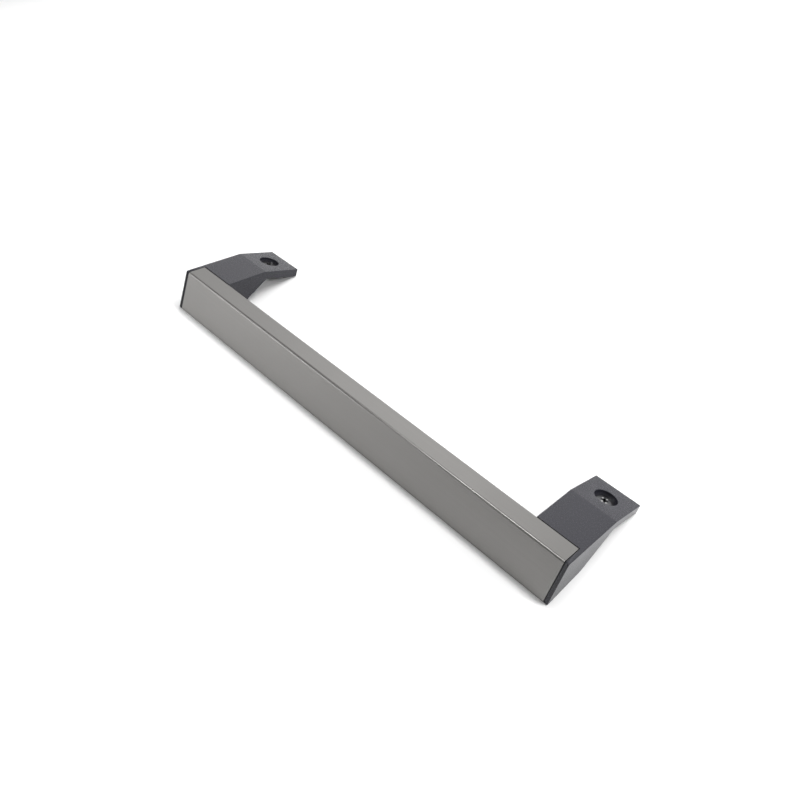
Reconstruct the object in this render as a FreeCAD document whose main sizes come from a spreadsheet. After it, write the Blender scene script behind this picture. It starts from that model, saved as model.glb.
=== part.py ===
import FreeCAD, Part
import os
import Sketcher

# Pull handle of a refrigerator door: a hollow metal grip bar between two moulded end brackets.
# Frame: X along the bar, -Y towards the user, +Z up. The origin lies midway between the two
# mounting screws, on the plane of the door edge that the lugs are screwed down to.
# All sizes are in millimetres and degrees.
SIZES = [
    ("overall_length", 320.0, "outer face to outer face of the two brackets"),
    ("reach", 58.25, "mounting screw axis to the front face of the bar"),
    ("front_height", 27.9, "height of the front face"),
    ("top_slope", 13.6, "fall of the top face towards the front, degrees"),
    ("under_slope", 8.0, "rise of the bottom face towards the rear, degrees"),
    ("bar_depth", 12.5, "front face to rear wall of the bar"),
    ("bar_wall", 1.5, "wall of the metal section"),
    ("bend_radius", 1.6, "front top edge of the bar and of the end plates"),
    ("edge_radius", 0.8, "bottom edges of the bar"),
    ("rear_edge_radius", 0.3, "crisp rear top edge of the bar"),
    ("end_chamfer", 0.25, "deburred ends of the bar"),
    ("bracket_width", 29.5, "width of arm and lug"),
    ("plate_thickness", 2.3, "end plate that closes the bar"),
    ("shell_wall", 2.4, "walls of the cored arm"),
    ("heel_depth", 18.6, "front face to the heel where the underside turns up"),
    ("lug_length", 30.2, "fold to the end of the lug"),
    ("lug_thickness", 5.6, "height of the lug above the mounting plane"),
    ("throat_setback", 2.1, "fold of the top to the throat below it"),
    ("lug_land", 2.4, "solid root of the lug in front of the throat"),
    ("lug_core_depth", 3.2, "cored underside of the lug"),
    ("fold_radius", 4.0, "fold between arm and lug"),
    ("throat_radius", 2.0, "inside corner under the lug"),
    ("corner_radius", 0.6, "corners of the lug seen from above"),
    ("rim_radius", 0.35, "rounding round the outer side face"),
    ("inner_rim_radius", 0.35, "rounding of the side that faces along the bar"),
    ("rib_thickness", 1.6, "ribs in the cored arm"),
    ("rib_pitch", 12.0, "distance between the two ribs"),
    ("rib_setback", 1.6, "ribs end this far above the open underside"),
    ("rear_gap", 0.4, "shadow gap between the bar and the arm"),
    ("end_gap", 0.3, "shadow gap between the bar and the end plate"),
    ("plug_clearance", 0.15, "plug inside the bar, all round"),
    ("plug_length", 22.0, "plug beyond the end plate"),
    ("plug_wall", 2.0, "walls of the cored plug"),
    ("plug_lead", 0.8, "lead-in chamfer of the plug"),
    ("web_height", 7.0, "web of the plug that takes the bar screw"),
    ("mount_shank_radius", 2.45, "threaded shank of the mounting screw"),
    ("mount_neck_radius", 2.2, "plain neck between that shank and the head"),
    ("mount_hole_clearance", 0.3, "hole round that shank"),
    ("mount_head_radius", 5.2, "head of the mounting screw"),
    ("mount_head_height", 1.8, "head of the mounting screw"),
    ("mount_head_dome", 0.8, "sloping part of that height"),
    ("mount_crown_radius", 3.1, "flat crown of the mounting screw's head"),
    ("mount_head_clearance", 1.6, "counterbore round the head"),
    ("mount_head_sink", 2.0, "head below the top of the lug"),
    ("mount_shank_length", 7.8, "neck and shank of the mounting screw under its head"),
    ("mount_end_radius", 1.7, "flat end of the mounting screw"),
    ("mount_end_length", 0.75, "bevel at the end of the mounting screw"),
    ("counterbore_edge", 0.2, "chamfer of the counterbore's rim"),
    ("cross_width", 4.6, "cross recess of the mounting screws, tip to tip"),
    ("cross_slot", 1.1, "width of one arm of a cross recess"),
    ("cross_depth", 1.5, "depth of a cross recess"),
    ("cross_turn", 20.0, "turn of the mounting screws' recess, degrees"),
    ("cross_draft", 8.0, "draft of a cross recess, degrees"),
    ("bar_shank_radius", 1.9, "shank of the bar screw"),
    ("bar_shank_length", 11.0, "shank of the bar screw under its head"),
    ("bar_end_radius", 0.65, "flat end of the bar screw"),
    ("bar_end_length", 1.5, "cone at the end of the bar screw"),
    ("bar_hole_clearance", 0.35, "free holes round the bar screw"),
    ("pilot_clearance", 0.05, "hole in the plug's web round the bar screw"),
    ("bar_head_radius", 3.6, "head of the bar screw"),
    ("bar_head_height", 2.4, "head of the bar screw"),
    ("bar_head_dome", 1.0, "sloping part of that height"),
    ("bar_crown_radius", 2.2, "flat crown of the bar screw's head"),
    ("bar_cross_width", 3.8, "cross recess of the bar screws, tip to tip"),
]

doc = FreeCAD.newDocument("handle")
sheet = doc.addObject("Spreadsheet::Sheet", "Sizes")
for row, (alias, value, meaning) in enumerate(SIZES, start=1):
    sheet.set(f"A{row}", meaning)
    sheet.set(f"B{row}", str(value))
    sheet.setAlias(f"B{row}", alias)
doc.recompute()

# Places worked out from the sizes, as expressions. FRONT, BAR_REAR and the like are values of y.
FRONT = "-Sizes.reach"
FOLD = "-Sizes.lug_length / 2"
LUG_END = "Sizes.lug_length / 2"
BAR_REAR = f"{FRONT} + Sizes.bar_depth"
ARM_FRONT = f"{BAR_REAR} + Sizes.rear_gap"
ARM_INSIDE = f"{ARM_FRONT} + Sizes.shell_wall"
HEEL = f"{FRONT} + Sizes.heel_depth"
THROAT = f"{FOLD} + Sizes.throat_setback"
CORE_END = f"{THROAT} - Sizes.lug_land"
OUTER_SIDE = "-Sizes.overall_length / 2"
PLATE_INSIDE = f"{OUTER_SIDE} + Sizes.plate_thickness"
INNER_SIDE = f"{OUTER_SIDE} + Sizes.bracket_width"
LUG_CENTRE = f"{OUTER_SIDE} + Sizes.bracket_width / 2"
CORE_WIDTH = "(Sizes.bracket_width - Sizes.plate_thickness - Sizes.shell_wall)"
CORE_CENTRE = f"{PLATE_INSIDE} + {CORE_WIDTH} / 2"
COUNTERBORE_RADIUS = "(Sizes.mount_head_radius + Sizes.mount_head_clearance)"
COUNTERBORE_DEPTH = "(Sizes.mount_head_sink + Sizes.mount_head_height)"
MOUNT_HOLE_RADIUS = "(Sizes.mount_shank_radius + Sizes.mount_hole_clearance)"
BAR_HOLE_RADIUS = "(Sizes.bar_shank_radius + Sizes.bar_hole_clearance)"
PILOT_RADIUS = "(Sizes.bar_shank_radius + Sizes.pilot_clearance)"


def top_at(y, below=0):
    """Height of the sloping top face at y, or of a face that lies below it at right angles."""
    return (f"Sizes.lug_thickness + (({y}) - ({FOLD})) * tan(Sizes.top_slope)"
            f" - ({below}) / cos(Sizes.top_slope)")


def under_at(y, above=0):
    """Height of the bottom face at y, or of a face that lies above it at right angles."""
    return (f"{top_at(FRONT)} - Sizes.front_height"
            f" + (({y}) - ({FRONT})) * tan(Sizes.under_slope) + ({above}) / cos(Sizes.under_slope)")


BAR_SCREW_HEIGHT = f"{top_at(FRONT)} - Sizes.front_height / 2"
THROUGH_BAR_WALL = "1.5 * Sizes.bar_wall"


def number(expression):
    """Value of an expression in the sheet's sizes."""
    return float(sheet.evalExpression(expression.replace("Sizes.", "")))


def new_body(label):
    body = doc.addObject("PartDesign::Body", label)
    body.Label = label
    return body


def new_sketch(body, name, role, offset="0"):
    """Sketch on one of the body's own origin planes, moved along the plane's normal."""
    plane = next(part for part in body.Origin.OriginFeatures if part.Role == role)
    sketch = body.newObject("Sketcher::SketchObject", name)
    sketch.AttachmentSupport = (plane, [""])
    sketch.MapMode = "FlatFace"
    sketch.setExpression("AttachmentOffset.Base.z", offset)
    return sketch


def place_point(sketch, geometry, end, across, up):
    """Ties a point of the sketch to two coordinates, each an expression."""
    for kind, expression in (("DistanceX", across), ("DistanceY", up)):
        index = sketch.addConstraint(Sketcher.Constraint(kind, -1, 1, geometry, end, number(expression)))
        sketch.setExpression(f"Constraints[{index}]", expression)


def add_polygon(sketch, corners):
    """Closed outline through corners given as pairs of expressions."""
    points = [FreeCAD.Vector(number(across), number(up), 0) for across, up in corners]
    count = len(corners)
    lines = [sketch.addGeometry(Part.LineSegment(points[i], points[(i + 1) % count])) for i in range(count)]
    for i in range(count):
        sketch.addConstraint(Sketcher.Constraint("Coincident", lines[i], 2, lines[(i + 1) % count], 1))
    for line, (across, up) in zip(lines, corners):
        place_point(sketch, line, 1, across, up)


def add_circle(sketch, across, up, radius):
    """Circle with its centre and radius given as expressions."""
    centre = FreeCAD.Vector(number(across), number(up), 0)
    circle = sketch.addGeometry(Part.Circle(centre, FreeCAD.Vector(0, 0, 1), number(radius)))
    place_point(sketch, circle, 3, across, up)
    index = sketch.addConstraint(Sketcher.Constraint("Radius", circle, number(radius)))
    sketch.setExpression(f"Constraints[{index}]", radius)


def extrude(body, kind, name, sketch, length, backwards=False, middle=False):
    """Pad or pocket of a sketch. It must change the body's volume in the right direction."""
    before = body.Shape.Volume if body.Tip else 0.0
    feature = body.newObject(f"PartDesign::{kind}", name)
    feature.Profile = sketch
    feature.setExpression("Length", length)
    feature.Reversed = backwards
    feature.Midplane = middle
    doc.recompute()
    change = feature.Shape.Volume - before
    assert change > 0 if kind == "Pad" else change < 0, f"{name} changes nothing"
    return feature


def round_edges(body, name, edges, radius, kind="Fillet"):
    """Fillet or chamfer on the named edges of the body's last feature."""
    base = body.Tip
    feature = body.newObject(f"PartDesign::{kind}", name)
    feature.Base = (base, edges)
    feature.setExpression("Radius" if kind == "Fillet" else "Size", radius)
    doc.recompute()
    return feature


def edges_where(shape, test):
    """Names of the edges whose bounding box passes the test."""
    return [f"Edge{i}" for i, edge in enumerate(shape.Edges, start=1) if test(edge.BoundBox)]


def near(value, target, reach=1e-3):
    return abs(value - target) < reach


def long_edges(shape, y, z):
    """Edges that run along X through the point y, z of the side profile."""
    return edges_where(shape, lambda box: box.XLength > 0.5 and near(box.YLength, 0) and near(box.ZLength, 0)
                       and near(box.YMin, number(y)) and near(box.ZMin, number(z)))


def bar_outline(inset="0"):
    """Section of the bar at a distance inside its outer faces: front top, front bottom, rear."""
    front = f"{FRONT} + ({inset})"
    rear = f"{BAR_REAR} - ({inset})"
    return [(front, top_at(front, inset)), (front, under_at(front, inset)),
            (rear, under_at(rear, inset)), (rear, top_at(rear, inset))]


def make_bar():
    """Extruded tube of four walls, with a free hole for each bar screw in its rear wall."""
    body = new_body("handle_bar")
    length = "Sizes.overall_length - 2 * (Sizes.plate_thickness + Sizes.end_gap)"
    outer = new_sketch(body, "bar_section", "YZ_Plane")
    add_polygon(outer, bar_outline())
    extrude(body, "Pad", "bar_solid", outer, length, middle=True)
    corners = bar_outline()
    round_edges(body, "front_bend", long_edges(body.Shape, *corners[0]), "Sizes.bend_radius")
    bottom = long_edges(body.Shape, *corners[1]) + long_edges(body.Shape, *corners[2])
    round_edges(body, "bottom_edges", bottom, "Sizes.edge_radius")
    round_edges(body, "rear_edge", long_edges(body.Shape, *corners[3]), "Sizes.rear_edge_radius")
    end = number(length) / 2
    ends = edges_where(body.Shape, lambda box: near(box.XMin, box.XMax) and near(abs(box.XMin), end))
    round_edges(body, "deburred_ends", ends, "Sizes.end_chamfer", "Chamfer")
    inner = new_sketch(body, "bar_hollow_section", "YZ_Plane")
    add_polygon(inner, bar_outline("Sizes.bar_wall"))
    extrude(body, "Pocket", "bar_hollow", inner, length, middle=True)
    holes = new_sketch(body, "screw_hole_places", "XZ_Plane", f"-({BAR_REAR})")
    for side in ("", "-"):
        add_circle(holes, f"{side}({CORE_CENTRE})", BAR_SCREW_HEIGHT, BAR_HOLE_RADIUS)
    extrude(body, "Pocket", "screw_holes", holes, THROUGH_BAR_WALL, backwards=True)
    return body


def side_profile(front):
    """Outline of the bracket seen from the side, from the given front line back to the lug."""
    return [(front, top_at(front)), (front, under_at(front)), (HEEL, under_at(HEEL)), (THROAT, "0"),
            (LUG_END, "0"), (LUG_END, "Sizes.lug_thickness"), (FOLD, "Sizes.lug_thickness")]


def make_bracket_shell(body):
    """End plate over the whole side profile, arm and lug behind the bar, and their roundings."""
    plate = new_sketch(body, "plate_profile", "YZ_Plane", OUTER_SIDE)
    add_polygon(plate, side_profile(FRONT))
    extrude(body, "Pad", "end_plate", plate, "Sizes.plate_thickness")
    arm = new_sketch(body, "arm_profile", "YZ_Plane", OUTER_SIDE)
    add_polygon(arm, side_profile(ARM_FRONT))
    extrude(body, "Pad", "arm_and_lug", arm, "Sizes.bracket_width")
    for name, corner, radius in (
            ("plate_bend", (FRONT, top_at(FRONT)), "Sizes.bend_radius"),
            ("plate_toe", (FRONT, under_at(FRONT)), "Sizes.edge_radius"),
            ("heel_round", (HEEL, under_at(HEEL)), "Sizes.throat_radius"),
            ("throat_round", (THROAT, "0"), "Sizes.throat_radius"),
            ("fold_round", (FOLD, "Sizes.lug_thickness"), "Sizes.fold_radius")):
        round_edges(body, name, long_edges(body.Shape, *corner), radius)
    lug_end = number(LUG_END)
    upright = edges_where(body.Shape, lambda box: box.ZLength > 1 and near(box.XLength, 0)
                          and near(box.YMin, lug_end) and near(box.YMax, lug_end))
    round_edges(body, "lug_corners", upright, "Sizes.corner_radius")
    outer_side = number(OUTER_SIDE)
    rim = edges_where(body.Shape, lambda box: near(box.XMin, outer_side) and near(box.XMax, outer_side))
    round_edges(body, "outer_rim", rim, "Sizes.rim_radius")
    inner_side = number(INNER_SIDE)
    rim = edges_where(body.Shape, lambda box: near(box.XMin, inner_side) and near(box.XMax, inner_side))
    round_edges(body, "inner_rim", rim, "Sizes.inner_rim_radius")


def make_arm_core(body):
    """Core of the arm, open at the underside, with two ribs that stay short of the opening."""
    floor = f"{top_at(FRONT)} - 2 * Sizes.front_height"
    core = new_sketch(body, "core_profile", "YZ_Plane", PLATE_INSIDE)
    add_polygon(core, [(ARM_INSIDE, floor), (CORE_END, floor),
                       (CORE_END, top_at(CORE_END, "Sizes.shell_wall")),
                       (ARM_INSIDE, top_at(ARM_INSIDE, "Sizes.shell_wall"))])
    extrude(body, "Pocket", "arm_core", core, CORE_WIDTH, backwards=True)
    in_wall = f"{ARM_FRONT} + Sizes.shell_wall / 2"
    rib_offset = f"{CORE_CENTRE} - Sizes.rib_pitch / 2 - Sizes.rib_thickness / 2"
    rib = new_sketch(body, "rib_profile", "YZ_Plane", rib_offset)
    foot = f"{under_at(HEEL)} + Sizes.rib_setback"
    rib_end = f"{CORE_END} + Sizes.lug_land / 2"
    slope = f"(-({under_at(HEEL)})) / (({THROAT}) - ({HEEL}))"
    add_polygon(rib, [(in_wall, foot), (HEEL, foot), (rib_end, f"{foot} + (({rib_end}) - ({HEEL})) * {slope}"),
                      (rib_end, top_at(rib_end, "Sizes.shell_wall / 2")),
                      (in_wall, top_at(in_wall, "Sizes.shell_wall / 2"))])
    first = extrude(body, "Pad", "arm_rib", rib, "Sizes.rib_thickness")
    along = next(part for part in body.Origin.OriginFeatures if part.Role == "X_Axis")
    pattern = body.newObject("PartDesign::LinearPattern", "arm_ribs")
    pattern.Originals = [first]
    pattern.Direction = (along, [""])
    pattern.setExpression("Length", "Sizes.rib_pitch")
    pattern.Occurrences = 2
    body.Tip = pattern
    doc.recompute()


def make_lug_core(body):
    """Cored underside of the lug: walls and a round boss are left, with a rib each way across it."""
    sides = (PLATE_INSIDE, f"{INNER_SIDE} - Sizes.shell_wall")
    ends = (f"{THROAT} + Sizes.shell_wall", f"{LUG_END} - Sizes.shell_wall")
    core = new_sketch(body, "lug_core_outline", "XY_Plane")
    add_polygon(core, [(sides[0], ends[0]), (sides[1], ends[0]), (sides[1], ends[1]), (sides[0], ends[1])])
    add_circle(core, LUG_CENTRE, "0", f"{COUNTERBORE_RADIUS} + Sizes.plug_wall")
    extrude(body, "Pocket", "lug_core", core, "Sizes.lug_core_depth", backwards=True)
    half = "Sizes.rib_thickness / 2"
    across = new_sketch(body, "cross_rib_outline", "XY_Plane")
    add_polygon(across, [(sides[0], f"-{half}"), (sides[1], f"-{half}"), (sides[1], half), (sides[0], half)])
    extrude(body, "Pad", "cross_rib", across, "Sizes.lug_core_depth")
    along = new_sketch(body, "long_rib_outline", "XY_Plane")
    left, right = f"{LUG_CENTRE} - {half}", f"{LUG_CENTRE} + {half}"
    add_polygon(along, [(left, ends[0]), (right, ends[0]), (right, ends[1]), (left, ends[1])])
    extrude(body, "Pad", "long_rib", along, "Sizes.lug_core_depth")


def make_plug(body):
    """Plug that enters the bar: two cored chambers with the screw's web between them."""
    inset = "Sizes.bar_wall + Sizes.plug_clearance"
    plug = new_sketch(body, "plug_section", "YZ_Plane", f"{PLATE_INSIDE} - Sizes.plate_thickness / 2")
    add_polygon(plug, bar_outline(inset))
    extrude(body, "Pad", "plug", plug, "Sizes.plug_length + Sizes.plate_thickness / 2")
    tip = number(f"{PLATE_INSIDE} + Sizes.plug_length")
    bar_rear = number(BAR_REAR)
    lead = edges_where(body.Shape, lambda box: near(box.XMin, tip) and near(box.XMax, tip)
                       and box.YMax < bar_rear)
    round_edges(body, "plug_lead_in", lead, "Sizes.plug_lead", "Chamfer")
    chamber = bar_outline(f"{inset} + Sizes.plug_wall")
    front, rear = chamber[0][0], chamber[2][0]
    web_top = f"{BAR_SCREW_HEIGHT} + Sizes.web_height / 2"
    web_bottom = f"{BAR_SCREW_HEIGHT} - Sizes.web_height / 2"
    upper = new_sketch(body, "upper_chamber_section", "YZ_Plane", PLATE_INSIDE)
    add_polygon(upper, [chamber[0], (front, web_top), (rear, web_top), chamber[3]])
    extrude(body, "Pocket", "upper_chamber", upper, "Sizes.plug_length", backwards=True)
    lower = new_sketch(body, "lower_chamber_section", "YZ_Plane", PLATE_INSIDE)
    add_polygon(lower, [(front, web_bottom), chamber[1], chamber[2], (rear, web_bottom)])
    extrude(body, "Pocket", "lower_chamber", lower, "Sizes.plug_length", backwards=True)


def make_bracket_holes(body):
    """Counterbored hole in the lug, free hole in the arm's front wall and pilot hole in the web."""
    place = new_sketch(body, "mount_hole_place", "XY_Plane", "Sizes.lug_thickness")
    add_circle(place, LUG_CENTRE, "0", MOUNT_HOLE_RADIUS)
    doc.recompute()
    before = body.Shape.Volume
    hole = body.newObject("PartDesign::Hole", "mount_hole")
    hole.Profile = place
    hole.ThreadType = "None"
    hole.DepthType = "ThroughAll"
    hole.HoleCutType = "Counterbore"
    hole.HoleCutCustomValues = True
    hole.setExpression("Diameter", f"2 * {MOUNT_HOLE_RADIUS}")
    hole.setExpression("HoleCutDiameter", f"2 * {COUNTERBORE_RADIUS}")
    hole.setExpression("HoleCutDepth", COUNTERBORE_DEPTH)
    doc.recompute()
    assert hole.Shape.Volume < before, "the mounting hole cuts nothing"
    lug_top = number("Sizes.lug_thickness")
    width = 2 * number(COUNTERBORE_RADIUS)
    rim = edges_where(body.Shape, lambda box: near(box.ZMin, lug_top) and near(box.ZMax, lug_top)
                      and near(box.YLength, width, 0.01))
    round_edges(body, "counterbore_rim", rim, "Sizes.counterbore_edge", "Chamfer")
    free = new_sketch(body, "free_hole_place", "XZ_Plane", f"-({ARM_INSIDE})")
    add_circle(free, CORE_CENTRE, BAR_SCREW_HEIGHT, BAR_HOLE_RADIUS)
    extrude(body, "Pocket", "free_hole", free, "Sizes.shell_wall + Sizes.rear_gap / 2", backwards=True)
    pilot = new_sketch(body, "pilot_hole_place", "XZ_Plane", f"-({BAR_REAR})")
    add_circle(pilot, CORE_CENTRE, BAR_SCREW_HEIGHT, PILOT_RADIUS)
    extrude(body, "Pocket", "pilot_hole", pilot, "Sizes.bar_depth", backwards=True)


def make_bracket():
    body = new_body("left_bracket")
    make_bracket_shell(body)
    make_arm_core(body)
    make_lug_core(body)
    make_plug(body)
    make_bracket_holes(body)
    return body


def mirrored(source, label):
    """The same piece for the right-hand end, mirrored in the middle plane of the bar."""
    copy = doc.addObject("Part::Mirroring", label)
    copy.Source = source
    copy.Normal = (1, 0, 0)
    copy.Label = label
    return copy


def make_screw(label, prefix, cross_width, below_head):
    """Screw along Z with the underside of its head at the origin: revolved, with a cross recess.
    below_head holds the profile's corners from the top of the shank up to the head."""
    head_radius = f"Sizes.{prefix}_head_radius"
    head_height = f"Sizes.{prefix}_head_height"
    end = f"-Sizes.{prefix}_shank_length"
    body = new_body(label)
    half = new_sketch(body, f"{label}_profile", "XZ_Plane")
    add_polygon(half, [("0", end), (f"Sizes.{prefix}_end_radius", end),
                       (f"Sizes.{prefix}_shank_radius", f"{end} + Sizes.{prefix}_end_length"),
                       *below_head,
                       (head_radius, "0"), (head_radius, f"{head_height} - Sizes.{prefix}_head_dome"),
                       (f"Sizes.{prefix}_crown_radius", head_height), ("0", head_height)])
    turned = body.newObject("PartDesign::Revolution", f"{label}_turned")
    turned.Profile = half
    turned.ReferenceAxis = (half, ["V_Axis"])
    turned.Angle = 360
    doc.recompute()
    recess = new_sketch(body, f"{label}_cross", "XY_Plane", head_height)
    tip_at = f"{cross_width} / 2"
    side_at = "Sizes.cross_slot / 2"
    quarter = [(tip_at, side_at), (side_at, side_at), (side_at, tip_at)]
    cross = []
    for _ in range(4):
        cross += quarter
        quarter = [(f"-({up})", across) for across, up in quarter]
    add_polygon(recess, cross)
    sunk = extrude(body, "Pocket", f"{label}_recess", recess, "Sizes.cross_depth")
    sunk.setExpression("TaperAngle", "-Sizes.cross_draft")
    doc.recompute()
    return body


def make_mount_screw(label, side):
    """Screw that holds a lug down, seated on the floor of its counterbore, with a plain neck in the lug."""
    neck_end = f"-(Sizes.lug_thickness - {COUNTERBORE_DEPTH})"
    neck = [("Sizes.mount_shank_radius", neck_end), ("Sizes.mount_neck_radius", neck_end),
            ("Sizes.mount_neck_radius", "0")]
    body = make_screw(label, "mount", "Sizes.cross_width", neck)
    body.setExpression("Placement.Base.x", f"{side}({LUG_CENTRE})")
    body.setExpression("Placement.Base.z", f"Sizes.lug_thickness - {COUNTERBORE_DEPTH}")
    body.Placement.Rotation = FreeCAD.Rotation(FreeCAD.Vector(0, 0, 1), number("Sizes.cross_turn"))
    return body


def make_bar_screw(label, side):
    """Screw driven forwards through the arm's front wall and the bar into the plug's web."""
    body = make_screw(label, "bar", "Sizes.bar_cross_width", [("Sizes.bar_shank_radius", "0")])
    body.setExpression("Placement.Base.x", f"{side}({CORE_CENTRE})")
    body.setExpression("Placement.Base.y", ARM_INSIDE)
    body.setExpression("Placement.Base.z", BAR_SCREW_HEIGHT)
    body.Placement.Rotation = FreeCAD.Rotation(FreeCAD.Vector(1, 0, 0), -90)
    return body


def build():
    left_bracket = make_bracket()
    parts = [make_bar(), left_bracket, mirrored(left_bracket, "right_bracket")]
    for side_name, side in (("left", ""), ("right", "-")):
        parts.append(make_mount_screw(f"{side_name}_mounting_screw", side))
        parts.append(make_bar_screw(f"{side_name}_bar_screw", side))
    doc.recompute()
    return parts


def check_and_export(parts):
    """Stops on any failed object or bad shape, then writes one STEP file for each piece."""
    for item in doc.Objects:
        failed = {"Invalid", "Error"} & set(item.State)
        assert not failed, f"{item.Name} is {item.State}"
    for part in parts:
        shape = part.Shape
        assert not shape.isNull() and shape.isValid(), f"{part.Label} has no valid shape"
        assert len(shape.Solids) == 1, f"{part.Label} has {len(shape.Solids)} solids"
    os.makedirs("parts", exist_ok=True)
    for part in parts:
        part.Shape.exportStep(f"parts/{part.Label}.step")
        box = part.Shape.BoundBox
        print(f"{part.Label}: {part.Shape.Volume:.1f} mm3, {len(part.Shape.Faces)} faces, "
              f"x {box.XMin:.2f} {box.XMax:.2f}, y {box.YMin:.2f} {box.YMax:.2f}, z {box.ZMin:.2f} {box.ZMax:.2f}")


check_and_export(build())
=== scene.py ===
import math

import bpy
import numpy as np
from mathutils import Matrix, Vector


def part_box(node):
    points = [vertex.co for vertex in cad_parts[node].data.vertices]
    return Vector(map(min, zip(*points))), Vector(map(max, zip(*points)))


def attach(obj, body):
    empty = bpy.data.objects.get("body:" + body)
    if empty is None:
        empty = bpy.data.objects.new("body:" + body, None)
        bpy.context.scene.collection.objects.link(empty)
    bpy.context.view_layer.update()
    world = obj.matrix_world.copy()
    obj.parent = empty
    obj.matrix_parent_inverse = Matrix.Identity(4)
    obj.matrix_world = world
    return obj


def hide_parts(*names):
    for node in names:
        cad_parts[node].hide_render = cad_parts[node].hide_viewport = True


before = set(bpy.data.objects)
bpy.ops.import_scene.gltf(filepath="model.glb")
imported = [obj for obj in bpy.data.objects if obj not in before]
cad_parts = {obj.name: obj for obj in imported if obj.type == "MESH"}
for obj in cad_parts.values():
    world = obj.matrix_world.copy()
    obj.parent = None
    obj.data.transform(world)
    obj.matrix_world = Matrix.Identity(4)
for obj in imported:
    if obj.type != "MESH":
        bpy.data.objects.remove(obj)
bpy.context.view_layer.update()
MM = 0.001

# The handle lies on the bar's front bottom edge and on the rear edges of the lugs, whose
# undersides are at height 0. The table is tilted to those two lines, and the tips of the mounting
# screws just reach it.
BAR_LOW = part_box("handle_bar")[0]
LUG_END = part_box("right_bracket")[1]
TABLE_SLOPE = math.atan2(-BAR_LOW.z, LUG_END.y - BAR_LOW.y)
TABLE_NORMAL = Vector((0, -math.sin(TABLE_SLOPE), math.cos(TABLE_SLOPE)))
TABLE_SIZE = 6.0
TABLE_CLEARANCE = 0.1 * MM
TABLE_WHITE = (0.9, 0.9, 0.9, 1.0)

# The camera stands where the photograph was taken from.
CAMERA_PLACE = Vector((241.3, -381.0, 213.5)) * MM
CAMERA_AIM = Vector((35.7, -57.1, 12.7)) * MM
CAMERA_ROLL = math.radians(-1.60)
CAMERA_LENS_MM = 35.45
CAMERA_SENSOR_MM = 36.0

# Shading of the pieces.
SHARP_EDGE = math.radians(32.0)
FLAT_FACE_WEIGHT = 80
MERGE_DISTANCE = 2e-6

# Colours of the finishes. A metal's colour is what it mirrors when seen square on.
METAL_DARK = (0.182, 0.178, 0.172, 1.0)
METAL_LIGHT = (0.201, 0.197, 0.191, 1.0)
PLASTIC_DARK = (0.0175, 0.0175, 0.0235, 1.0)
PLASTIC_LIGHT = (0.0200, 0.0200, 0.0265, 1.0)
# Coat of the left mounting screw, darker than the right one's as painted shade; then the plain coat of the
# right one.
PAINTED_SHADE_COAT_DARK = (0.030, 0.030, 0.032, 1.0)
PAINTED_SHADE_COAT_LIGHT = (0.045, 0.045, 0.048, 1.0)
PLAIN_COAT_DARK = (0.10, 0.10, 0.105, 1.0)
PLAIN_COAT_LIGHT = (0.14, 0.14, 0.145, 1.0)
BARE_STEEL = (0.85, 0.85, 0.83, 1.0)
# Near black inside a screw's cross recess: painted shade, not a colour of the steel.
PAINTED_RECESS_SHADE = (0.012, 0.012, 0.012, 1.0)
ZINC_DARK = (0.55, 0.55, 0.53, 1.0)
ZINC_LIGHT = (0.68, 0.68, 0.65, 1.0)
ROUGHNESS_SPREAD = 0.06
WORN_POLISH = 0.2

# Screws. Lengths run from the seat under the head, and the head, shank, neck, end, tip and core
# are radii.
MOUNT_SCREW = {"length": 7.8 * MM, "end": 1.7 * MM, "end_length": 0.75 * MM, "shank": 2.45 * MM,
               "pitch": 0.8 * MM, "thread_depth": 0.45 * MM, "thread_top": -1.8 * MM,
               "neck": 2.2 * MM, "head": 5.2 * MM, "head_height": 1.8 * MM, "dome": 0.8 * MM,
               "rim": 0.15 * MM}
# A cross's dark depth is the depth below which its recess is fully painted dark, as painted shade.
MOUNT_CROSS = {"tip": 2.3 * MM, "slot": 1.1 * MM, "depth": 1.5 * MM, "core": 1.25 * MM,
               "painted_shade_depth": 0.3 * MM, "worn_along": 2.05 * MM, "worn_aside": 1.2 * MM,
               "worn_width": 0.42 * MM, "burr": 0.22 * MM}
MOUNT_WORN = {"left": 0.25, "right": 1.0}
MOUNT_TURN = Matrix.Rotation(math.radians(20), 4, "Z")
BAR_SCREW = {"length": 11.0 * MM, "end": 0.65 * MM, "end_length": 1.5 * MM, "shank": 1.9 * MM,
             "pitch": 1.4 * MM, "thread_depth": 0.5 * MM, "thread_top": -0.6 * MM,
             "neck": 1.45 * MM, "head": 3.6 * MM, "head_height": 2.4 * MM, "dome": 1.0 * MM,
             "rim": 0.15 * MM}
BAR_CROSS = {"tip": 1.9 * MM, "slot": 1.1 * MM, "depth": 1.5 * MM, "core": 1.1 * MM,
             "painted_shade_depth": 0.3 * MM, "worn": 0.0, "worn_along": 1.7 * MM, "worn_aside": 1.0 * MM,
             "worn_width": 0.4 * MM, "burr": 0.0}
BAR_TURN = Matrix.Rotation(math.radians(-90), 4, "X")
CROSS_DRAFT = math.radians(8)
CROSS_END_SLOPE = math.radians(26)
CORE_SLOPE = math.radians(20)
THREAD_STEEPNESS = 1.25
THREAD_CREST = 0.12
RUN_OUT_TURNS = 0.5
DOME_POWER = 2.6
RIM_ROUNDING = 0.3
NECK_STEP = 0.02 * MM

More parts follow.
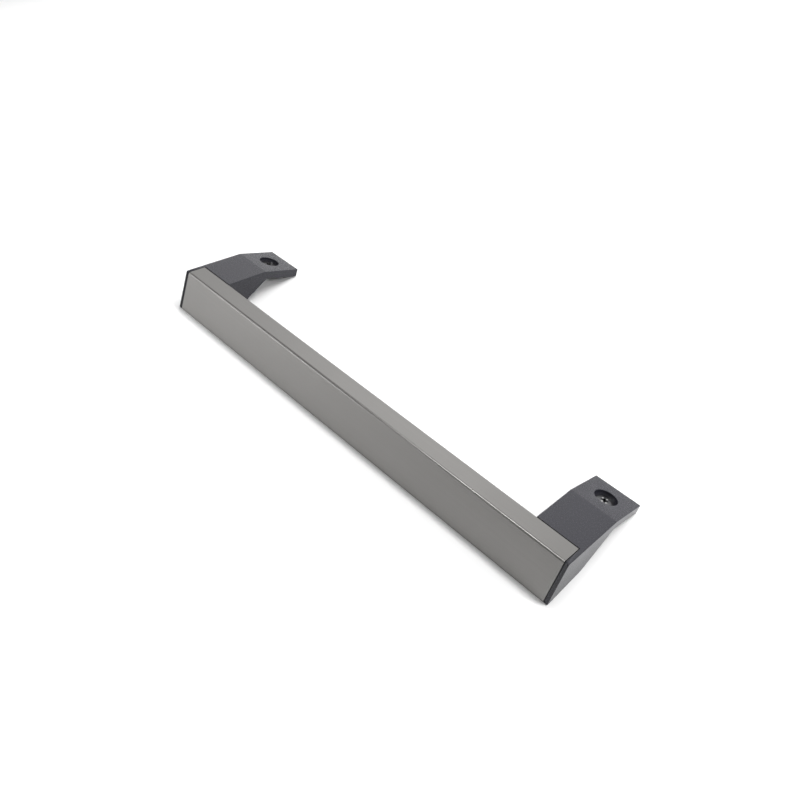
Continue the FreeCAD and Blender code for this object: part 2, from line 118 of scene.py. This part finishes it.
# Grid of a screw's surface. A quarter holds one arm of the cross, whose columns take up ARM_SHARE
# to each side of its middle. The dome's rings are shares of the head's radius. They stop at
# DOME_RINGS_STOP times the cross's tip radius, and the rings further in are shares of that radius.
ARM_SHARE = 0.4
ARM_COLUMNS = ARM_SHARE * np.array([-1.0, -0.8, -0.6, -0.3, 0.0, 0.3, 0.6, 0.8, 1.0])
COLUMNS_BETWEEN_ARMS = 9
WIDEST_ARM_ANGLE = math.radians(40)
RINGS_PER_PITCH = 10
DOME_RINGS = np.cos(np.linspace(0, 0.5 * math.pi, 14))[1:9]
DOME_RINGS_STOP = 1.25
RECESS_RINGS = np.array([1.2, 1.12, 1.06, 1.0, 0.97, 0.93, 0.88, 0.82, 0.75, 0.68, 0.6, 0.54, 0.5,
                         0.4, 0.3, 0.2, 0.1])
TINY = 1e-9

# Light tent. Each patch: its middle direction, the angles at which it starts and ends to fade,
# its strength.
TENT_WHITE = (1.0, 1.0, 1.0, 1.0)
EVEN_GLOW = 0.35
LIGHT_PATCHES = [
    ((0.00, 0.72, 0.69), 15, 35, 0.35),
    ((-0.25, 0.45, 0.86), 12, 30, 0.71),
    ((-0.66, 0.47, 0.58), 15, 35, 0.28),
    ((-0.60, 0.30, 0.74), 12, 30, 0.70),
    ((-0.45, 0.78, 0.40), 18, 32, 0.35),
    ((0.00, 0.407, -0.914), 60, 90, 0.65),
]

# Panels that light matt surfaces or glossy ones. Each panel: its place, the point that it faces,
# its width and height, its power, the surfaces.
SOFT_PANELS = [
    ((0.10, 0.045, 1.19), (0.0, -0.058, -0.03), 1.0, 0.15, 12.8, "matt"),
    ((0.50, 0.16, 0.42), (0.21, 0.03, -0.02), 0.25, 0.25, 2.4, "matt"),
    ((-0.62, -0.20, 0.16), (-0.20, -0.05, -0.03), 0.25, 0.25, 1.4, "matt"),
    ((-0.17, -0.485, 0.735), (0.10, -0.058, -0.005), 0.32, 0.18, 2.55, "gloss"),
]

# Panels for the bar's front to mirror, which light glossy surfaces apart from the left bracket.
# All face one point. Each panel: its place, its width and height, its power.
FRONT_PANEL_AIM = (0.0, -0.058, -0.015)
FRONT_PANELS = [
    ((-0.307, -1.008, 0.042), 0.3, 0.3, 0.42),
    ((-0.452, -0.910, -0.280), 0.18, 0.2, 0.18),
    ((-0.635, -0.813, -0.180), 0.3, 0.28, 1.54),
    ((-0.778, -0.647, 0.203), 0.3, 0.3, 1.14),
]


def link(data_object):
    """Puts an object into the scene and returns it."""
    bpy.context.scene.collection.objects.link(data_object)
    return data_object


def closed_surface(name, points, start_pole, end_pole):
    """Mesh through a grid of points[row, column]. Each cell of the grid is one face. The columns
    close on themselves, and a pole closes the first and the last row with a fan."""
    rows, columns = points.shape[:2]
    row, column = (grid.ravel() for grid in np.mgrid[:rows - 1, :columns])
    next_column = (column + 1) % columns
    quads = np.stack([row * columns + column, row * columns + next_column,
                      (row + 1) * columns + next_column, (row + 1) * columns + column], axis=1)
    turn = np.arange(columns)
    following = (turn + 1) % columns
    last_row = (rows - 1) * columns
    first_pole = rows * columns
    last_pole = first_pole + 1
    start_fan = np.stack([np.full(columns, first_pole), following, turn], axis=1)
    end_fan = np.stack([np.full(columns, last_pole), last_row + turn, last_row + following], axis=1)
    corners = np.vstack([points.reshape(-1, 3), start_pole, end_pole])
    mesh = bpy.data.meshes.new(name)
    mesh.from_pydata(corners.tolist(), [], quads.tolist() + start_fan.tolist() + end_fan.tolist())
    mesh.validate()
    return link(bpy.data.objects.new(name, mesh))


def smooth_by_angle(piece):
    """Smooth shading, with the sharper edges kept crisp and flat faces kept flat."""
    piece.data.shade_smooth()
    piece.data.set_sharp_from_angle(angle=SHARP_EDGE)
    weighted = piece.modifiers.new("flat faces stay flat", "WEIGHTED_NORMAL")
    weighted.keep_sharp = True
    weighted.weight = FLAT_FACE_WEIGHT


def screw_columns():
    """Column parameter of a screw's surface, and the number of its quarter. The parameter goes from
    -ARM_SHARE to ARM_SHARE across an arm of the cross, and on to 2 - ARM_SHARE at the next arm."""
    between = np.linspace(ARM_SHARE, 2.0 - ARM_SHARE, COLUMNS_BETWEEN_ARMS + 2)[1:-1]
    quarter = np.concatenate([ARM_COLUMNS, between])
    number = np.repeat(np.arange(4), len(quarter))
    return np.tile(quarter, 4), number


def column_angles(radius, slot):
    """Angle of each column at each radius. Inside an arm it is a share of the angle of the arm's side,
    asin(slot / 2 / radius), which is WIDEST_ARM_ANGLE at most. Outside it is shared evenly up to the
    next arm."""
    column, number = screw_columns()
    side = np.arcsin(np.clip(slot / 2 / np.maximum(radius, TINY), 0, math.sin(WIDEST_ARM_ANGLE)))
    side = side[:, None]
    inside = column / ARM_SHARE * side
    outside = side + (column - ARM_SHARE) / (2 - 2 * ARM_SHARE) * (math.pi / 2 - 2 * side)
    return np.where(np.abs(column) <= ARM_SHARE + TINY, inside, outside) + number * math.pi / 2


def cross_depth(radius, angle, cross):
    """Depth of the cross recess. An arm is as deep as the smaller of what its drafted sides allow,
    (slot / 2 - distance from its middle line) / tan(draft), and what its sloping end allows,
    (tip radius - radius) / tan(end slope). The cone in the middle is (core radius - radius) /
    tan(core slope) deep. The recess is the deeper of the two, and never more than the full depth."""
    from_arm = (angle + math.pi / 4) % (math.pi / 2) - math.pi / 4
    aside = np.abs(radius * np.sin(from_arm))
    sides = (cross["slot"] / 2 - aside) / math.tan(CROSS_DRAFT)
    end = (cross["tip"] - radius) / math.tan(CROSS_END_SLOPE)
    core = (cross["core"] - radius) / math.tan(CORE_SLOPE)
    return np.clip(np.maximum(np.minimum(sides, end), core), 0, cross["depth"])


def worn_share(radius, angle, cross):
    """Share, 0 to 1, of bare metal where the driver has slipped, beside the ends of one pair of arms:
    worn * exp(-((distance along the arms - worn along) ** 2 + (distance from their middle line -
    worn aside) ** 2) / worn width ** 2)."""
    along = np.abs(radius * np.sin(angle)) - cross["worn_along"]
    aside = np.abs(radius * np.cos(angle)) - cross["worn_aside"]
    return cross["worn"] * np.exp(-(along ** 2 + aside ** 2) / cross["worn_width"] ** 2)


def thread_radius(height, angle, screw):
    """Radius of the threaded shank: the outer radius less the thread's depth times a flattened
    triangle wave of (height / pitch - turn), limited by the cone of the screw's end. The thread
    runs out into the neck at its top."""
    turn = (height / screw["pitch"] - angle / (2 * math.pi)) % 1.0
    groove = np.clip(THREAD_STEEPNESS * (1 - np.abs(2 * turn - 1)) - THREAD_CREST, 0, 1)
    fade = np.clip((screw["thread_top"] - height) / (RUN_OUT_TURNS * screw["pitch"]), 0, 1)
    threaded = screw["shank"] - screw["thread_depth"] * groove
    radius = fade * threaded + (1 - fade) * screw["neck"]
    above_end = (height + screw["length"]) / screw["end_length"]
    cone = screw["end"] + (screw["shank"] - screw["end"]) * above_end
    return np.minimum(radius, cone)


def head_profile(screw):
    """Radius and height of the rows from the top of the neck, along the underside of the head and round
    its rim, to the edge of the dome."""
    head, rim = screw["head"], screw["rim"]
    return np.array([(screw["neck"], screw["thread_top"] + NECK_STEP), (screw["neck"], 0.0),
                     (head - 2 * rim, 0.0), (head - rim, 0.0),
                     (head - RIM_ROUNDING * rim, RIM_ROUNDING * rim), (head, rim),
                     (head, screw["head_height"] - screw["dome"])])


def top_rings(head, tip):
    """Radii of the rows over the dome and through the recess."""
    over = head * DOME_RINGS
    return np.concatenate([over[over > DOME_RINGS_STOP * tip], tip * RECESS_RINGS])


def store_share(piece, name, share, floor_share):
    """Attribute of a screw's surface: the share on its last rows, 0 on the rows before them and at the
    tip, and the floor share in the middle of the recess."""
    value = np.zeros(len(piece.data.vertices))
    value[-2 - share.size:-2] = share.ravel()
    value[-1] = floor_share
    piece.data.attributes.new(name, "FLOAT", "POINT").data.foreach_set("value", value)


def make_screw(name, screw, cross, place, turn):
    """Screw turned about its axis: rows go from the tip up the helical thread, the neck, the underside
    and rim of the head, and over the dome into the recess. The dome's height above its edge is
    dome * (1 - (radius / head radius) ** power) ** (1 / power), less the depth of the cross, plus
    the burrs, worn share * burr height. The attribute worn is that share, and the second attribute
    is the share of the depth at which the recess is painted dark, as painted shade."""
    head = screw["head"]
    steps = int((screw["length"] + screw["thread_top"]) / screw["pitch"] * RINGS_PER_PITCH)
    shank = np.linspace(-screw["length"], screw["thread_top"], steps)
    profile = head_profile(screw)
    top = steps + len(profile)
    radius = np.concatenate([np.full(steps, screw["shank"]), profile[:, 0], top_rings(head, cross["tip"])])
    angle = column_angles(radius, cross["slot"])
    angle[:top] = column_angles(np.full(top, head), cross["slot"])
    wide = np.broadcast_to(radius[:, None], angle.shape).copy()
    tall = np.zeros_like(wide)
    tall[:steps] = shank[:, None]
    wide[:steps] = thread_radius(tall[:steps], angle[:steps], screw)
    tall[steps:top] = profile[:, 1:]
    dome = (1 - (wide[top:] / head) ** DOME_POWER) ** (1 / DOME_POWER)
    depth = cross_depth(wide[top:], angle[top:], cross)
    worn = np.where(depth > 0, 0, worn_share(wide[top:], angle[top:], cross))
    edge = screw["head_height"] - screw["dome"]
    tall[top:] = edge + screw["dome"] * dome - depth + cross["burr"] * worn
    points = np.stack([wide * np.cos(angle), wide * np.sin(angle), tall], axis=2)
    tip = (0.0, 0.0, -screw["length"])
    floor = (0.0, 0.0, screw["head_height"] - cross["depth"])
    piece = closed_surface(name, points, tip, floor)
    store_share(piece, "worn", worn, floor_share=0.0)
    # Painted shade: the share of the recess that is painted dark, full from the dark depth down.
    store_share(piece, "recess_shade", np.clip(depth / cross["painted_shade_depth"], 0, 1), floor_share=1.0)
    piece.data.transform(Matrix.Translation(place) @ turn)
    return piece


def finished_copy(node, name):
    """The solid of a node as one merged mesh, so that its roundings shade smoothly."""
    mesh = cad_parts[node].data.copy()
    mesh.name = name
    piece = link(bpy.data.objects.new(name, mesh))
    bpy.context.view_layer.objects.active = piece
    for other in bpy.context.selected_objects:
        other.select_set(False)
    piece.select_set(True)
    bpy.ops.object.mode_set(mode="EDIT")
    bpy.ops.mesh.select_all(action="SELECT")
    bpy.ops.mesh.remove_doubles(threshold=MERGE_DISTANCE)
    bpy.ops.object.mode_set(mode="OBJECT")
    mesh.materials.clear()
    return piece


class Nodes:
    """Short way to add and join shader nodes of one material or world."""

    def __init__(self, tree):
        self.tree = tree

    def add(self, kind, inputs=None, **settings):
        """New node. An input is given the value, or is joined to the socket that stands for it."""
        node = self.tree.nodes.new(kind)
        for key, value in settings.items():
            setattr(node, key, value)
        for key, value in (inputs or {}).items():
            if isinstance(value, bpy.types.NodeSocket):
                self.tree.links.new(value, node.inputs[key])
            else:
                node.inputs[key].default_value = value
        return node

    def blend(self, factor, first, second):
        """Colour between two colours, which are inputs 6 and 7 and output 2 of a mix node."""
        node = self.add("ShaderNodeMix", {0: factor, 6: first, 7: second}, data_type="RGBA")
        return node.outputs[2]


def new_material(name):
    """Empty material and its nodes."""
    material = bpy.data.materials.new(name)
    material.use_nodes = True
    material.node_tree.nodes.clear()
    return material, Nodes(material.node_tree)


def satin_metal():
    """Satin grey metal with a fine grain along the bar and a faint cloudiness."""
    material, nodes = new_material("satin_metal")
    place = nodes.add("ShaderNodeTexCoord").outputs["Object"]
    along = nodes.add("ShaderNodeMapping", {"Vector": place, "Scale": (6.0, 2600.0, 2600.0)})
    grain = nodes.add("ShaderNodeTexNoise", {
        "Vector": along.outputs["Vector"], "Scale": 1.0, "Detail": 3.0, "Roughness": 0.6})
    cloud = nodes.add("ShaderNodeTexNoise", {"Vector": place, "Scale": 45.0, "Detail": 2.0})
    tone = nodes.blend(grain.outputs["Fac"], METAL_DARK, METAL_LIGHT)
    gloss = nodes.add("ShaderNodeMapRange", {
        "Value": cloud.outputs["Fac"], "To Min": 0.29, "To Max": 0.34})
    bump = nodes.add("ShaderNodeBump", {
        "Height": grain.outputs["Fac"], "Strength": 0.2, "Distance": 2e-5})
    shader = nodes.add("ShaderNodeBsdfPrincipled", {
        "Base Color": tone, "Metallic": 1.0, "Roughness": gloss.outputs["Result"],
        "Normal": bump.outputs["Normal"]})
    nodes.add("ShaderNodeOutputMaterial", {"Surface": shader.outputs["BSDF"]})
    return material


def bracket_plastic():
    """Dark grey moulded plastic, semi-gloss over a fine spark-eroded texture."""
    material, nodes = new_material("bracket_plastic")
    place = nodes.add("ShaderNodeTexCoord").outputs["Object"]
    speckle = nodes.add("ShaderNodeTexNoise", {"Vector": place, "Scale": 2600.0, "Detail": 2.0})
    cloud = nodes.add("ShaderNodeTexNoise", {"Vector": place, "Scale": 60.0, "Detail": 2.0})
    tone = nodes.blend(cloud.outputs["Fac"], PLASTIC_DARK, PLASTIC_LIGHT)
    gloss = nodes.add("ShaderNodeMapRange", {
        "Value": speckle.outputs["Fac"], "To Min": 0.25, "To Max": 0.29})
    bump = nodes.add("ShaderNodeBump", {
        "Height": speckle.outputs["Fac"], "Strength": 0.08, "Distance": 1.5e-5})
    shader = nodes.add("ShaderNodeBsdfPrincipled", {
        "Base Color": tone, "Roughness": gloss.outputs["Result"], "IOR": 1.42,
        "Normal": bump.outputs["Normal"]})
    nodes.add("ShaderNodeOutputMaterial", {"Surface": shader.outputs["BSDF"]})
    return material


def screw_steel(name, dark, light, roughness):
    """Coated steel, a little uneven in tone and gloss, bare where the attribute worn says so, and
    painted dark inside the cross recess as painted shade, by the share that the second attribute holds."""
    material, nodes = new_material(name)
    place = nodes.add("ShaderNodeTexCoord").outputs["Object"]
    worn = nodes.add("ShaderNodeAttribute", attribute_name="worn").outputs["Fac"]
    recess_shade = nodes.add("ShaderNodeAttribute", attribute_name="recess_shade").outputs["Fac"]
    speckle = nodes.add("ShaderNodeTexNoise", {"Vector": place, "Scale": 900.0, "Detail": 3.0})
    coat = nodes.blend(speckle.outputs["Fac"], dark, light)
    # Painted shade: the recess is painted near black where it is deep.
    tone = nodes.blend(worn, nodes.blend(recess_shade, coat, PAINTED_RECESS_SHADE), BARE_STEEL)
    coat_gloss = nodes.add("ShaderNodeMapRange", {
        "Value": speckle.outputs["Fac"], "To Min": roughness - ROUGHNESS_SPREAD,
        "To Max": roughness + ROUGHNESS_SPREAD})
    polish = nodes.add("ShaderNodeMath", {0: worn, 1: WORN_POLISH}, operation="MULTIPLY")
    gloss = nodes.add("ShaderNodeMath", {
        0: coat_gloss.outputs["Result"], 1: polish.outputs[0]}, operation="SUBTRACT")
    bump = nodes.add("ShaderNodeBump", {
        "Height": speckle.outputs["Fac"], "Strength": 0.1, "Distance": 2e-5})
    shader = nodes.add("ShaderNodeBsdfPrincipled", {
        "Base Color": tone, "Metallic": 1.0, "Roughness": gloss.outputs[0],
        "Normal": bump.outputs["Normal"]})
    nodes.add("ShaderNodeOutputMaterial", {"Surface": shader.outputs["BSDF"]})
    return material


def table_top():
    """Plain matt white. Its underside lets light and sight through."""
    material, nodes = new_material("table_top")
    side = nodes.add("ShaderNodeNewGeometry").outputs["Backfacing"]
    matt = nodes.add("ShaderNodeBsdfDiffuse", {"Color": TABLE_WHITE})
    clear = nodes.add("ShaderNodeBsdfTransparent")
    mixed = nodes.add("ShaderNodeMixShader", {
        0: side, 1: matt.outputs["BSDF"], 2: clear.outputs["BSDF"]})
    nodes.add("ShaderNodeOutputMaterial", {"Surface": mixed.outputs["Shader"]})
    return material


def dress(piece, material, node):
    """Gives a piece its shading, material and body, and hides the solid that it stands for."""
    smooth_by_angle(piece)
    piece.data.materials.append(material)
    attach(piece, "root")
    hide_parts(node)


def make_bar():
    """The hollow bar, as a merged copy of its solid."""
    bar = finished_copy("handle_bar", "handle_bar_finished")
    dress(bar, satin_metal(), "handle_bar")


def make_brackets():
    """The two moulded brackets, as merged copies of their solids. Returns them by side."""
    plastic = bracket_plastic()
    brackets = {}
    for side in ("left", "right"):
        node = f"{side}_bracket"
        brackets[side] = finished_copy(node, f"{node}_finished")
        dress(brackets[side], plastic, node)
    return brackets


def make_mounting_screw(side, steel):
    """Screw that holds a lug to the door, with its head on the floor of the counterbore."""
    node = f"{side}_mounting_screw"
    low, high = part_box(node)
    seat = Vector(((low.x + high.x) / 2, (low.y + high.y) / 2, high.z - MOUNT_SCREW["head_height"]))
    cross = dict(MOUNT_CROSS, worn=MOUNT_WORN[side])
    screw = make_screw(f"{node}_turned", MOUNT_SCREW, cross, seat, MOUNT_TURN)
    dress(screw, steel, node)


def make_bar_screw(side, steel):
    """Screw that holds a bracket to the bar, with its head on the front wall inside the arm."""
    node = f"{side}_bar_screw"
    low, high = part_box(node)
    seat = Vector(((low.x + high.x) / 2, high.y - BAR_SCREW["head_height"], (low.z + high.z) / 2))
    screw = make_screw(f"{node}_turned", BAR_SCREW, BAR_CROSS, seat, BAR_TURN)
    dress(screw, steel, node)


def make_screws():
    """The four screws. The left mounting screw's coat is painted darker than the right one's, as painted
    shade in its hole.
    """
    coated = {"left": screw_steel("painted_shade_screw", PAINTED_SHADE_COAT_DARK, PAINTED_SHADE_COAT_LIGHT, roughness=0.42),
              "right": screw_steel("dark_screw", PLAIN_COAT_DARK, PLAIN_COAT_LIGHT, roughness=0.38)}
    plated = screw_steel("plated_screw", ZINC_DARK, ZINC_LIGHT, roughness=0.30)
    for side, steel in coated.items():
        make_mounting_screw(side, steel)
        make_bar_screw(side, plated)


def make_table():
    """Square of table top under the handle."""
    half = TABLE_SIZE / 2
    along = Vector((1, 0, 0))
    away = TABLE_NORMAL.cross(along)
    middle = Vector((0, BAR_LOW.y, BAR_LOW.z)) - TABLE_NORMAL * TABLE_CLEARANCE
    corners = [middle + along * half * a + away * half * b for a, b in ((-1, -1), (1, -1), (1, 1), (-1, 1))]
    mesh = bpy.data.meshes.new("table")
    mesh.from_pydata([tuple(corner) for corner in corners], [], [(0, 1, 2, 3)])
    table = link(bpy.data.objects.new("table", mesh))
    mesh.materials.append(table_top())


def make_camera():
    """Camera with the table's normal as its upward direction, then rolled about its line of sight."""
    sight = (CAMERA_AIM - CAMERA_PLACE).normalized()
    right = sight.cross(TABLE_NORMAL).normalized()
    up = right.cross(sight)
    rolled_up = up * math.cos(CAMERA_ROLL) + right * math.sin(CAMERA_ROLL)
    rolled_right = right * math.cos(CAMERA_ROLL) - up * math.sin(CAMERA_ROLL)
    turn = Matrix((rolled_right, rolled_up, -sight)).transposed()
    data = bpy.data.cameras.new("camera")
    data.lens = CAMERA_LENS_MM
    data.sensor_width = CAMERA_SENSOR_MM
    data.clip_start = 10 * MM
    camera = link(bpy.data.objects.new("camera", data))
    camera.matrix_world = Matrix.Translation(CAMERA_PLACE) @ turn.to_4x4()
    bpy.context.scene.camera = camera


def make_light_tent():
    """Surroundings as one soft light tent. Its glow is a sum of smooth patches:
    glow = even + sum(strength * smoothstep(cos(angle to the patch's middle), cos(outer), cos(inner)))."""
    world = bpy.data.worlds.new("light_tent")
    bpy.context.scene.world = world
    world.use_nodes = True
    world.node_tree.nodes.clear()
    nodes = Nodes(world.node_tree)
    direction = nodes.add("ShaderNodeTexCoord").outputs["Generated"]
    glow = EVEN_GLOW
    for middle, inner, outer, strength in LIGHT_PATCHES:
        nearness = nodes.add("ShaderNodeVectorMath", {
            0: direction, 1: Vector(middle).normalized()}, operation="DOT_PRODUCT")
        patch = nodes.add("ShaderNodeMapRange", {
            "Value": nearness.outputs["Value"], "From Min": math.cos(math.radians(outer)),
            "From Max": math.cos(math.radians(inner)), "To Min": 0.0, "To Max": strength},
            interpolation_type="SMOOTHSTEP")
        total = nodes.add("ShaderNodeMath", {0: glow, 1: patch.outputs["Result"]}, operation="ADD")
        glow = total.outputs[0]
    background = nodes.add("ShaderNodeBackground", {"Color": TENT_WHITE, "Strength": glow})
    nodes.add("ShaderNodeOutputWorld", {"Surface": background.outputs["Background"]})


def soft_panel(place, aim, width, height, power, surfaces):
    """Panel of light that faces a point, with its width as nearly along the bar as the aim allows.
    It lights matt or glossy surfaces."""
    data = bpy.data.lights.new("soft_panel", "AREA")
    data.shape = "RECTANGLE"
    data.size = width
    data.size_y = height
    data.energy = power
    facing = (Vector(aim) - Vector(place)).normalized()
    along = Vector((1, 0, 0))
    across = (along - facing * along.dot(facing)).normalized()
    turn = Matrix((across, across.cross(facing), -facing)).transposed()
    panel = link(bpy.data.objects.new("soft_panel", data))
    panel.matrix_world = Matrix.Translation(place) @ turn.to_4x4()
    panel.visible_camera = False
    panel.visible_diffuse = surfaces == "matt"
    panel.visible_glossy = surfaces == "gloss"
    return panel


def make_panels(left_bracket):
    """The soft panels. A flag keeps the front panels off the left bracket, whose outer side would
    mirror them as a pale sheet when seen from the back left."""
    for place, aim, width, height, power, surfaces in SOFT_PANELS:
        soft_panel(place, aim, width, height, power, surfaces)
    flagged = bpy.data.collections.new("kept_out_of_front_panels")
    flagged.objects.link(left_bracket)
    flagged.collection_objects[0].light_linking.link_state = "EXCLUDE"
    for place, width, height, power in FRONT_PANELS:
        panel = soft_panel(place, FRONT_PANEL_AIM, width, height, power, "gloss")
        panel.light_linking.receiver_collection = flagged


make_bar()
brackets = make_brackets()
make_screws()
make_table()
make_camera()
make_light_tent()
make_panels(brackets["left"])
bpy.context.scene.view_settings.view_transform = "Standard"
